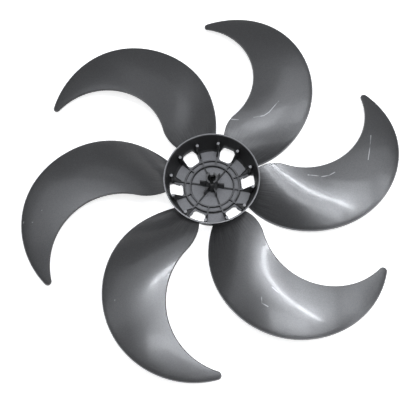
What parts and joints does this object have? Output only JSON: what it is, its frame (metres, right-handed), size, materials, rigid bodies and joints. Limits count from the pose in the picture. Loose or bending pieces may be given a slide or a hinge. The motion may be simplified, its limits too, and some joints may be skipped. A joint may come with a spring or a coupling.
{
  "type": "fan blade",
  "caption": "Moulded fan impeller with sickle-shaped blades around an open ribbed hub cup, and a central shaft boss with a cross slot for the drive pin.",
  "frame": {"origin": "centre of the front face of the hub, on the shaft axis, at the foot of the bounding box", "axes": "+Z along the shaft axis to the rear, where the motor is and the hub cup opens; +X and +Y across the blades, with the drive pin's slot along Y"},
  "size_m": [0.3822, 0.393, 0.031],
  "materials": {
    "grey_plastic": "satin metallic grey, moulded through"
  },
  "bodies": {
    "root": {"fan_blade": "grey_plastic"}
  },
  "joints": []
}
